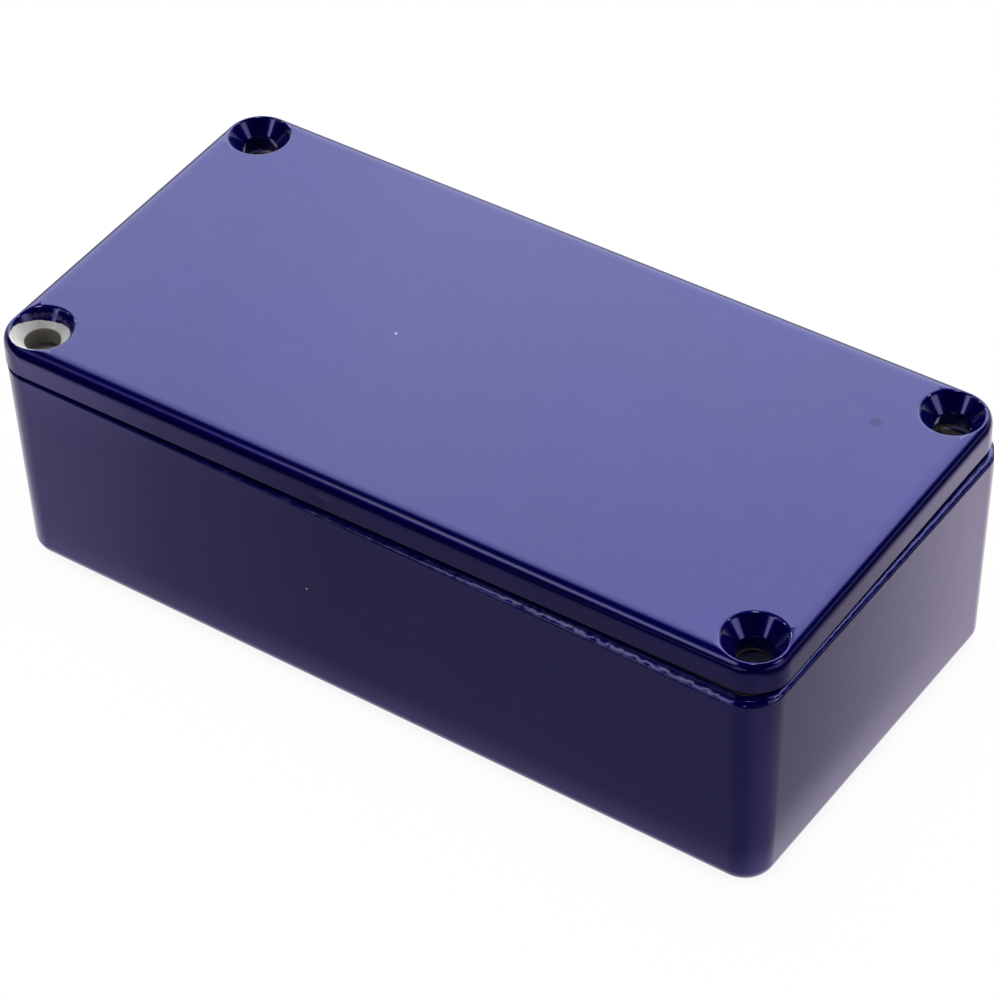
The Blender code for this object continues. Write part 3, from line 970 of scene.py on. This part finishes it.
def patch_steps(step=0.5):
    """Inner border of the corner patch: down its left side, then along its front side."""
    end_x, end_y = LID_X - LID_TOP_REACH, LID_Y - LID_TOP_REACH
    ny = int(round((end_y - PATCH_Y) / step))
    nx = int(round((end_x - PATCH_X) / step))
    return ([(PATCH_X, y) for y in np.linspace(end_y, PATCH_Y, ny + 1)]
            + [(x, PATCH_Y) for x in np.linspace(PATCH_X, end_x, nx + 1)[1:]])


def add_lid_side(shape, outline, outward):
    """Rounded lower edge, side and the steepest part of the top edge."""
    profile = []
    for k in range(5):
        turn = math.radians(90 * k / 4)
        profile.append((LID_LOW_R * (1 - math.sin(turn)), LID_LOW + LID_LOW_R * (1 - math.cos(turn)),
                        math.sin(turn), -math.cos(turn)))
    for z in np.linspace(LID_LOW + LID_LOW_R, THICK - LID_TOP_REACH, 6)[1:-1]:
        profile.append((0.0, z, 1.0, 0.0))
    for degrees in (89.9999, 88.0, 86.0, 84.0, 82.0, 80.0):
        slope = math.radians(degrees)
        inset, drop = edge_profile(slope)
        profile.append((inset, THICK - drop, math.sin(slope), math.cos(slope)))
    points, normals = sweep(outline, outward, profile)
    # a shallow knock in the front side, left of the middle
    knock_x, knock_z, half_l, half_h, depth, shading = -5.2, 1.35, 1.3, 0.55, 0.045, 1.6
    across = (points[..., 0] - knock_x) / half_l
    above = (points[..., 2] - knock_z) / half_h
    knock = depth * np.exp(-across ** 2 - above ** 2) * (points[..., 1] < -LID_Y + 0.2)
    points[..., 1] += knock
    normals[..., 0] += -2 * across / half_l * knock * shading
    normals[..., 2] += -2 * above / half_h * knock * shading
    shape.grid(points, unit_rows(normals))


def add_top_edges(shape, edge_rows):
    """The rounding along the four straight stretches between the corner patches."""
    profile = [(inset, THICK - drop, math.sin(slope), math.cos(slope))
               for slope, (inset, drop) in zip(TOP_SLOPES, edge_rows)]
    for line, normal in lid_straights():
        outward = np.repeat([normal], len(line), 0)
        shape.grid(*sweep(line, outward, profile), closed=False)


def inset_along(ray, radius):
    return lid_height(HOLE_X + ray[:, 0] * radius, HOLE_Y + ray[:, 1] * radius)[1]


def fan_radii(ray, reach, ring_count):
    """Radius of every fan point, row by row inwards from the patch's border."""
    # columns that end on the outline get rows evenly spaced in slope
    ring_ray, ring_reach = ray[:ring_count], reach[:ring_count]
    end_slopes = [bisect(0.0, STEEP, lambda slope: edge_profile(slope)[0] > inset, steps=30)
                  for inset in inset_along(ring_ray, FAN_RADIUS)]
    rows = []
    for k in range(FAN_ROWS + 1):
        part = k / FAN_ROWS
        radius = reach + (FAN_RADIUS - reach) * part
        if 0 < k < FAN_ROWS:
            wanted = np.array([edge_profile(STEEP + (end - STEEP) * part)[0]
                               for end in end_slopes])
            radius[:ring_count] = bisect(FAN_RADIUS, ring_reach,
                                         lambda r: inset_along(ring_ray, r) > wanted, steps=36)
        rows.append(radius)
    step = 0.055
    circles = [np.arange(FAN_RADIUS - step, 3.30, -step), np.linspace(3.28, BORE_R + BORE_LIP, 13)]
    rows += [np.full(len(ray), radius) for radius in np.concatenate(circles)]
    return np.stack(rows)


def bore_profile():
    """Lip, bore and lower edge, as sweep rows whose insets are minus the radius."""
    cone_slope = math.radians(90.0 - SINK_HALF_ANGLE)
    rows = []
    for k in range(1, 4):
        turn = cone_slope + (math.pi / 2 - cone_slope) * k / 3
        rows.append((-(BORE_R + BORE_LIP * (1 - k / 3) ** 2), LIP_Z - BORE_LIP * 1.6 * k / 3,
                     -math.sin(turn), math.cos(turn)))
    for z in np.linspace(rows[-1][1], LID_LOW + BORE_LIP, 12)[1:]:
        rows.append((-BORE_R, z, -1.0, 0.0))
    rows.append((-(BORE_R + BORE_LIP), LID_LOW, -0.7, -0.7))
    return rows


def corner_patch(corner, corner_normals, edge_rows):
    """First-quadrant corner with its countersunk hole, as a grid of points and normals."""
    ring_count = len(corner)
    steep_inset, steep_drop = edge_profile(STEEP)
    outer = corner - corner_normals * steep_inset
    left_edge = [(PATCH_X, LID_Y - inset) for inset, _ in edge_rows[1:]]
    right_edge = [(LID_X - inset, PATCH_Y) for inset, _ in edge_rows[::-1][1:-1]]
    border = np.concatenate([outer, left_edge, patch_steps()[1:], right_edge])
    centre = np.array([HOLE_X, HOLE_Y])
    reach = np.hypot(*(border - centre).T)
    ray = (border - centre) / reach[:, None]
    fan = fan_radii(ray, reach, ring_count)
    x, y = HOLE_X + ray[None, :, 0] * fan, HOLE_Y + ray[None, :, 1] * fan
    z, _ = lid_height(x, y)
    z[0, :ring_count] = THICK - steep_drop
    h = 0.004
    slope_x = (lid_height(x + h, y)[0] - lid_height(x - h, y)[0]) / (2 * h)
    slope_y = (lid_height(x, y + h)[0] - lid_height(x, y - h)[0]) / (2 * h)
    normals = np.stack([-slope_x, -slope_y, np.ones_like(slope_x)], 2)
    normals[0, :ring_count] = with_z(corner_normals * math.sin(STEEP), math.cos(STEEP))
    bore, bore_normals = sweep(centre, ray, bore_profile())
    return (np.concatenate([np.stack([x, y, z], 2), bore]),
            np.concatenate([unit_rows(normals), bore_normals]))


def add_corner_patches(shape, patch, patch_normals):
    """The patch mirrored to all four corners, each with its own missing paint."""
    for hole, (sx, sy) in enumerate(HOLES):
        mirror = [sx, sy, 1.0]
        points = patch * mirror
        x, y = points[..., 0] - sx * HOLE_X, points[..., 1] - sy * HOLE_Y
        z = points[..., 2]
        azimuth = np.degrees(np.arctan2(y, x) + LID_TURN) % 360.0
        radius = np.hypot(x, y)
        mark = np.zeros_like(z)
        if hole == 1:
            # ring of lighter dry paint round the front left countersink: a painted reflection on the
            # cone's upper part
            mark = 0.66 * np.exp(-((radius - 3.05) / 0.42) ** 2) * (z < THICK - 0.05)
        # the bore below the lip gets the darker brown metal
        mark = np.where(z < LIP_Z - 0.05, -1.0, mark)
        values = surface_values(missing_paint(hole, radius, azimuth, z), mark)
        shape.grid(points, patch_normals * mirror, flip=sx * sy < 0, values=values)


def add_top_plate(shape):
    """The flat top inside the roundings and the corner patches."""
    plate = []
    for signs, (line, _) in zip(CORNERS, lid_straights(LID_TOP_REACH)):
        plate += [mirrored(patch_steps()[::-1], signs), line[1:-1]]
    shape.flat([np.concatenate(plate)], THICK, True, filler=filler_points(LID_X, LID_Y, 3.0))


def underside_values(points):
    """Light overspray, almost none round the holes."""
    distance = np.hypot(np.abs(points[:, 0]) - HOLE_X, np.abs(points[:, 1]) - HOLE_Y)
    return surface_values(np.where(distance < 4.4, 0.1, 0.8))


def tongue_ring(inset, z=0.0):
    points, _ = notched_outline(TONGUE_L / 2 - inset, TONGUE_W / 2 - inset,
                                TONGUE_NOTCH_R + inset, 1.0)
    return with_z(points, z)


def add_underside(shape, low_ring, hole_rings):
    """Lower face, tongue, and the pocket inside the tongue."""
    shape.flat([low_ring, tongue_ring(0.0)] + hole_rings, LID_LOW, False, BARE,
               filler=filler_points(LID_X, LID_Y, 1.4), values_at=underside_values)
    # inset, z
    outside = ((0.0, LID_LOW), (0.0, -0.6), (0.0, -1.15),
               (0.06, -1.32), (0.18, -1.44), (0.35, -TONGUE_DOWN))
    shape.grid(np.stack([tongue_ring(*row) for row in outside]), slot=BARE, flip=True,
               values=surface_values(0.35))
    edge = TONGUE_T - 0.25
    shape.flat([tongue_ring(0.35), tongue_ring(edge)], -TONGUE_DOWN, False, BARE)
    roof, roof_r, lean, wall_low = THICK - LID_SKIN, 0.6, 0.12, -1.3
    pocket = [(edge, -TONGUE_DOWN), (edge + 0.13, -1.46), (edge + 0.25, wall_low)]
    pocket += [(TONGUE_T + lean * s, wall_low + (roof - roof_r - wall_low) * s)
               for s in (0.33, 0.66, 1.0)]
    for k in range(1, 6):
        turn = math.radians(90 * k / 5)
        pocket.append((TONGUE_T + lean + roof_r * (1 - math.cos(turn)),
                       roof - roof_r + roof_r * math.sin(turn)))
    rows = [tongue_ring(*row) for row in pocket]
    shape.grid(np.stack(rows), slot=BARE, flip=True)
    pads = [(-30.0, 0.0), (30.0, 0.0), (0.0, 12.0), (0.0, -12.0)]
    add_padded_face(shape, rows[-1], pads, roof, False, filler_points(LID_X, LID_Y, 4.0))


def build_lid():
    shape = Shape()
    corner, corner_normals = corner_outline()
    outline, outward = lid_outline(corner, corner_normals)
    edge_rows = [edge_profile(slope) for slope in TOP_SLOPES]
    add_lid_side(shape, outline, outward)
    add_top_edges(shape, edge_rows)
    patch, patch_normals = corner_patch(corner, corner_normals, edge_rows)
    add_corner_patches(shape, patch, patch_normals)
    add_top_plate(shape)
    hole_rings = [mirrored(patch[-1][:, :2], signs) for signs in HOLES]
    add_underside(shape, outline - outward * LID_LOW_R, hole_rings)
    shift = Vector((*LID_SHIFT, LID_UNDER_Z)) * 1.0
    place = Matrix.Translation([c * MM for c in shift]) @ Matrix.Rotation(LID_TURN, 4, "Z")
    mesh = shape.mesh("enclosure_lid", [paint_lid, bare_cast], place)
    return add_object("enclosure_lid", mesh)


# ---------------------------------------------------------------- screws
def cross_outline(half_width, length, bevel):
    """Outline of a cross with bevelled arm ends and inner corners."""
    arm = ((length - bevel, -half_width), (length, -half_width + bevel),
           (length, half_width - bevel), (length - bevel, half_width),
           (half_width + 0.10, half_width), (half_width, half_width + 0.10))
    points = []
    for quarter in range(4):
        c = round(math.cos(quarter * math.pi / 2))
        s = round(math.sin(quarter * math.pi / 2))
        points += [(c * x - s * y, s * x + c * y) for x, y in arm]
    return np.array(points)


def screw_mesh():
    """Countersunk screw along z: top of the head at z = 0, tip down."""
    shape = Shape()
    count = 64
    neck_z = -0.25 - (SCREW_HEAD_R - SCREW_MAJOR_R) / SINK_TAN
    tip_z = -SCREW_L + 0.22
    profile = [(0.9, -SCREW_L), (1.15, -SCREW_L + 0.04), (1.34, tip_z)]
    step = PITCH / 12
    z = tip_z + step
    while z < neck_z - 0.35:
        fade = smoothstep(z, -SCREW_L + 0.1, -SCREW_L + 1.0)
        fade = fade * (1 - smoothstep(z, neck_z - 1.5, neck_z - 0.7))
        tooth = thread_tooth(z, count, fullness=1.35)
        profile.append((SCREW_MINOR_R + (SCREW_MAJOR_R - SCREW_MINOR_R) * tooth * fade, z))
        z += step
    # neck and cone, then the rounded edge of the head
    profile += [(SCREW_MINOR_R + 0.02, neck_z - 0.25), (SCREW_MINOR_R + 0.16, neck_z - 0.05),
                (1.85, neck_z + 0.11), (3.40, -0.37),
                (3.47, -0.28), (SCREW_HEAD_R, -0.20), (3.49, -0.10), (3.43, -0.03), (3.32, 0.0)]
    rows = hoops(profile, count)
    shape.grid(np.stack(rows))
    shape.flat([rows[0]], -SCREW_L, False)

    # tapered cross recess: half width and length of the arms, z, bevel
    levels = ((0.44, 1.97, 0.0, 0.12), (0.40, 1.90, -0.08, 0.12),
              (0.36, 1.35, -0.9, 0.10), (0.30, 0.85, -1.45, 0.08))
    recess = [with_z(cross_outline(half_width, length, bevel), z)
              for half_width, length, z, bevel in levels]
    shape.flat([rows[-1], recess[0]], 0.0, True)
    shape.grid(np.stack(recess))
    shape.flat([recess[-1]], levels[-1][2], True)

    mesh = shape.mesh("screw_shape", [steel], own_normals=False)
    mesh.set_sharp_from_angle(angle=math.radians(38.0))
    # the steel's pattern follows the unmoved screw
    local = np.empty(len(mesh.vertices) * 3, np.float32)
    mesh.vertices.foreach_get("co", local)
    layer = mesh.attributes.new("local", "FLOAT_VECTOR", "POINT")
    layer.data.foreach_set("vector", local)
    return mesh


def build_screws():
    """Copies of the screw lying on the box's floor, on the head's edge and the tip."""
    mesh = screw_mesh()
    lean = math.atan((2 * SCREW_HEAD_R - SCREW_TIP_WIDTH) / 2 / SCREW_L)
    half = SCREW_L / 2 * math.cos(lean)
    z = FLOOR + REST_GAP + SCREW_HEAD_R * math.cos(lean)
    screws = []
    for i, (x, y, heading) in enumerate(LOOSE_SCREWS, start=1):
        own = mesh.copy()
        own.name = f"screw_{i}"
        heading = math.radians(heading)
        x -= half * math.cos(heading)
        y -= half * math.sin(heading)
        spin = Matrix.Rotation(heading, 4, "Z")
        over = Matrix.Rotation(-math.pi / 2 + lean, 4, "Y")
        roll = Matrix.Rotation(math.radians(17.0 * i), 4, "Z")
        own.transform(Matrix.Translation((x * MM, y * MM, z * MM)) @ spin @ over @ roll)
        screws.append(add_object(f"screw_{i}", own))
    return screws


box_piece = build_box()
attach(box_piece, "base")
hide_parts("base_box")

lid_piece = build_lid()
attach(lid_piece, "lid")
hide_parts("lid")

for k, screw in enumerate(build_screws(), start=1):
    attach(screw, "base")
    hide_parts(f"lid_screw_{k}")

# ---------------------------------------------------------------- studio, in metres
scene = bpy.context.scene
scene.view_settings.view_transform = "Standard"
scene.view_settings.look = "None"

FLOOR_HALF = 6.0
FLOOR_Z = -0.0002


def contact_shade(net, x, y):
    """What the camera sees: white, slightly darker close to the box's rounded footprint."""
    past_x = net.math("MAXIMUM", abs(x) - 0.0445, 0.0)
    past_y = net.math("MAXIMUM", abs(y) - 0.0195, 0.0)
    distance = net.math("SQRT", past_x * past_x + past_y * past_y)
    distance = net.math("MAXIMUM", distance - 0.0040, 0.0)
    # strength and reach of the narrow and the wide shade
    near = net.math("EXPONENT", distance * (-1 / 0.0009))
    wide = net.math("EXPONENT", distance * (-1 / 0.008))
    return 1.0 - (near * 0.07 + wide * 0.012)


def mirrored_floor(net, x, y):
    """What glossy faces see: a lit patch round the box, dim in front, fading outwards."""
    # distances beyond the right end, front, back and left end
    right = x - 0.050
    front = -0.025 - y
    back = y - 0.025
    left = -0.050 - x

    # front: bright at the left, along lines that run slantwise outwards, then a base level
    slant = x + front * 0.79
    front_level = (net.ramp(slant, over=(-0.050, -0.030), to=(0.34, 0.0), kind="LINEAR")
                   + net.ramp(slant, over=(-0.036, -0.006), to=(0.17, 0.0), kind="LINEAR"))
    front_level = front_level * net.ramp(front, over=(0.016, 0.030), to=(0.72, 1.85)) + 0.235
    front_level = front_level * net.ramp(front, over=(0.031, 0.062), to=(1.0, 0.02))

    # right end: a base level, brighter towards the back
    slant = y - right * 1.78
    rise = net.ramp(slant, over=(-0.022, 0.022), kind="LINEAR")
    right_level = 0.35 + net.math("POWER", rise, 1.7) * 0.68
    right_level = right_level * net.ramp(right, over=(0.014, 0.046), to=(1.0, 0.07))

    back_level = net.ramp(back, over=(0.020, 0.120), to=(1.05, 0.25))
    left_level = net.ramp(left, over=(0.020, 0.120), to=(0.85, 0.22))
    level = net.mix_number(net.ramp(left, over=(0.0, 0.012)), back_level, left_level)
    level = net.mix_number(net.ramp(front, over=(-0.004, 0.004)), level, front_level)
    at_right = (net.ramp(right - front, over=(-0.012, 0.010))
                * net.ramp(right, over=(-0.001, 0.004)))
    level = net.mix_number(at_right, level, right_level)

    # far ahead of the front and of the right end the floor is lit again
    far = (net.ramp(front, over=(0.11, 0.26)) * net.ramp(abs(x), over=(0.085, 0.040))
           + net.ramp(right, over=(0.11, 0.26)) * net.ramp(abs(y), over=(0.085, 0.030)))
    far_strength = 0.75
    return level + far * far_strength


def floor_material():
    material, net = new_material("studio_floor_white")
    x, y, _ = net.xyz(net.coords())
    seen = contact_shade(net, x, y)
    level = mirrored_floor(net, x, y)
    path = net.light_path()
    diffuse_level = 0.35
    value = net.mix_number(path["Is Glossy Ray"], diffuse_level, level)
    value = net.mix_number(path["Is Camera Ray"], value, seen)
    tint = net.mix_colour(path["Is Glossy Ray"], (1.0, 1.0, 1.0), (1.0, 0.90, 0.97))
    net.output(net.node("ShaderNodeEmission", {"Color": tint, "Strength": value}))
    return material


def build_floor():
    mesh = bpy.data.meshes.new("studio_floor")
    corners = [(sx * FLOOR_HALF, sy * FLOOR_HALF, FLOOR_Z)
               for sx, sy in ((-1, -1), (1, -1), (1, 1), (-1, 1))]
    mesh.from_pydata(corners, [], [(0, 1, 2, 3)])
    floor = add_object("studio_floor", mesh)
    mesh.materials.append(floor_material())


AMBIENT = 0.006
# round soft lights: direction, angles in degrees of full light and of none, level
ROUND_LIGHTS = (
    ((0.862, 0.165, 0.508), 3.0, 14.0, 1.7),        # right end
    ((0.45, 0.44, 0.78), 1.4, 3.2, 20.0),           # high, right and back
    ((-0.70, -0.20, 0.65), 1.4, 3.4, 16.0),         # left, slightly front
    ((0.03, -0.04, 1.0), 2.2, 5.5, 16.0),           # overhead
    ((-0.80, 0.22, 0.56), 1.6, 4.5, 14.0),          # left, slightly back
)


def main_and_strip(net, direction):
    """A broad main light, and a long thin one over the front; both mostly on the left."""
    x, y, z = net.xyz(direction)
    # angle about the long axis in degrees: 0 straight up, positive towards the front
    around = net.math("ARCTAN2", y * -1.0, z) * (180.0 / math.pi)
    main = (net.ramp(z, over=(0.627, 0.688), to=(2.76, 2.36), kind="LINEAR")
            * net.ramp(x, over=(-0.505, -0.455), to=(0.88, 1.0))
            * net.ramp(around, over=(-17.0, -43.0)) * net.ramp(around, over=(-150.0, -110.0))
            * net.ramp(x, over=(0.48, 0.08)) * net.ramp(x, over=(-0.96, -0.80))
            * net.ramp(z, over=(0.14, 0.34)) * net.ramp(y, over=(0.0, 0.12)))
    # the top's front rounding draws the strip as a thin line
    middle = net.ramp(x, over=(-0.435, -0.355), to=(28.0, 50.0), kind="LINEAR")
    spread = 9.0
    off = (around - middle) / spread
    strength = (net.ramp(x, over=(-0.480, -0.425), to=(0.55, 2.6))
                * net.ramp(x, over=(-0.12, -0.30)) * net.ramp(x, over=(-0.70, -0.56)))
    strip = net.math("EXPONENT", off * off * -0.5) * strength
    return main, strip


def round_light(net, direction, towards, inner, outer, level):
    centre = tuple(Vector(towards).normalized())
    limits = (math.cos(math.radians(outer)), math.cos(math.radians(inner)))
    return net.ramp(net.dot(direction, centre), over=limits, to=(0.0, level))


def horizon_glow(net, direction):
    """Low glow at the right, the front and the back, each with its own weight."""
    z = net.xyz(direction)[2]
    right = net.ramp(net.dot(direction, (1, 0, 0)), over=(0.80, 0.97))
    front = net.ramp(net.dot(direction, (0, -1, 0)), over=(0.93, 0.995))
    back = net.ramp(net.dot(direction, (-0.3, 0.95, 0)), over=(0.1, 0.7))
    low = net.ramp(abs(z), over=(0.30, 0.02))
    return low * (right * 0.9 + front * 0.8 + back * 0.9)


def build_world():
    world = bpy.data.worlds.new("studio")
    scene.world = world
    world.use_nodes = True
    net = Net(world.node_tree)
    direction = net.vector("NORMALIZE", net.coords("Generated"))
    main, strip = main_and_strip(net, direction)
    total = AMBIENT + main + strip
    for light in ROUND_LIGHTS:
        total = total + round_light(net, direction, *light)
    total = total + horizon_glow(net, direction)
    path = net.light_path()
    # diffuse rays get a little more light; the camera sees plain white
    total = total * net.mix_number(path["Is Diffuse Ray"], 1.0, 1.3)
    value = net.mix_number(path["Is Camera Ray"], total, 1.0)
    colour = net.mix_colour(path["Is Camera Ray"], (1.0, 1.055, 1.0), (1.0, 1.0, 1.0))
    background = net.node("ShaderNodeBackground", {"Color": colour, "Strength": value})
    net.output(background, kind="ShaderNodeOutputWorld")


def build_camera():
    """Long lens from the front right, looking down."""
    data = bpy.data.cameras.new("camera")
    data.lens = 162.5117
    data.sensor_width = 36.0
    data.clip_start = 0.01
    data.clip_end = 50.0
    camera = add_object("camera", data)
    right = Vector((0.823805, 0.56644, -0.022152))
    down = Vector((0.367317, -0.563157, -0.740224))
    forward = Vector((-0.431768, 0.601664, -0.671995))
    turn = Matrix((right, -down, -forward)).transposed()
    place = Matrix.Translation((0.2144474, -0.2988118, 0.3472489))
    camera.matrix_world = place @ turn.to_4x4()
    scene.camera = camera


build_floor()
build_world()
build_camera()
